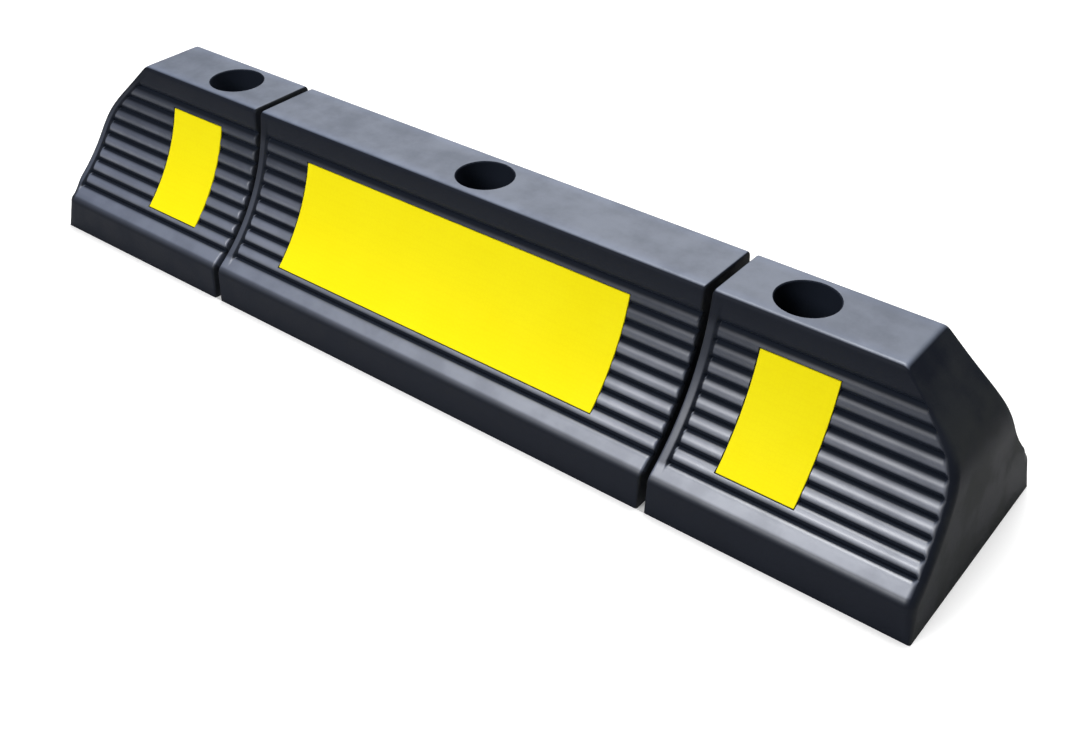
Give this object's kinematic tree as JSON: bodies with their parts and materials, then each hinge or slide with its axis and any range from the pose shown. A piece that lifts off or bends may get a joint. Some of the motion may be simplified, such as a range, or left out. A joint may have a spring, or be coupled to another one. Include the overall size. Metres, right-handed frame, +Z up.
{
  "type": "wheel stop",
  "caption": "Low rubber wheel stop for a parking bay: centre and end modules in a row, with hollow ribbed faces, yellow reflective panels and bolt wells for ground anchors.",
  "frame": {"origin": "middle of the base, on the ground", "axes": "+X along the stop, +Y towards its rear face, +Z up"},
  "size_m": [0.56, 0.13, 0.1],
  "materials": {
    "rubber": "moulded black rubber, slightly chalky, with a low sheen",
    "reflective_sheet": "yellow reflective sheet with a smooth face",
    "zinc_plated_steel": "dull zinc plating"
  },
  "bodies": {
    "root": {"left_end_module": "rubber", "centre_module": "rubber", "right_end_module": "rubber", "front_left_reflector": "reflective_sheet", "front_centre_reflector": "reflective_sheet", "front_right_reflector": "reflective_sheet", "rear_left_reflector": "reflective_sheet", "rear_centre_reflector": "reflective_sheet", "rear_right_reflector": "reflective_sheet", "anchor_washers": "zinc_plated_steel"}
  },
  "joints": []
}
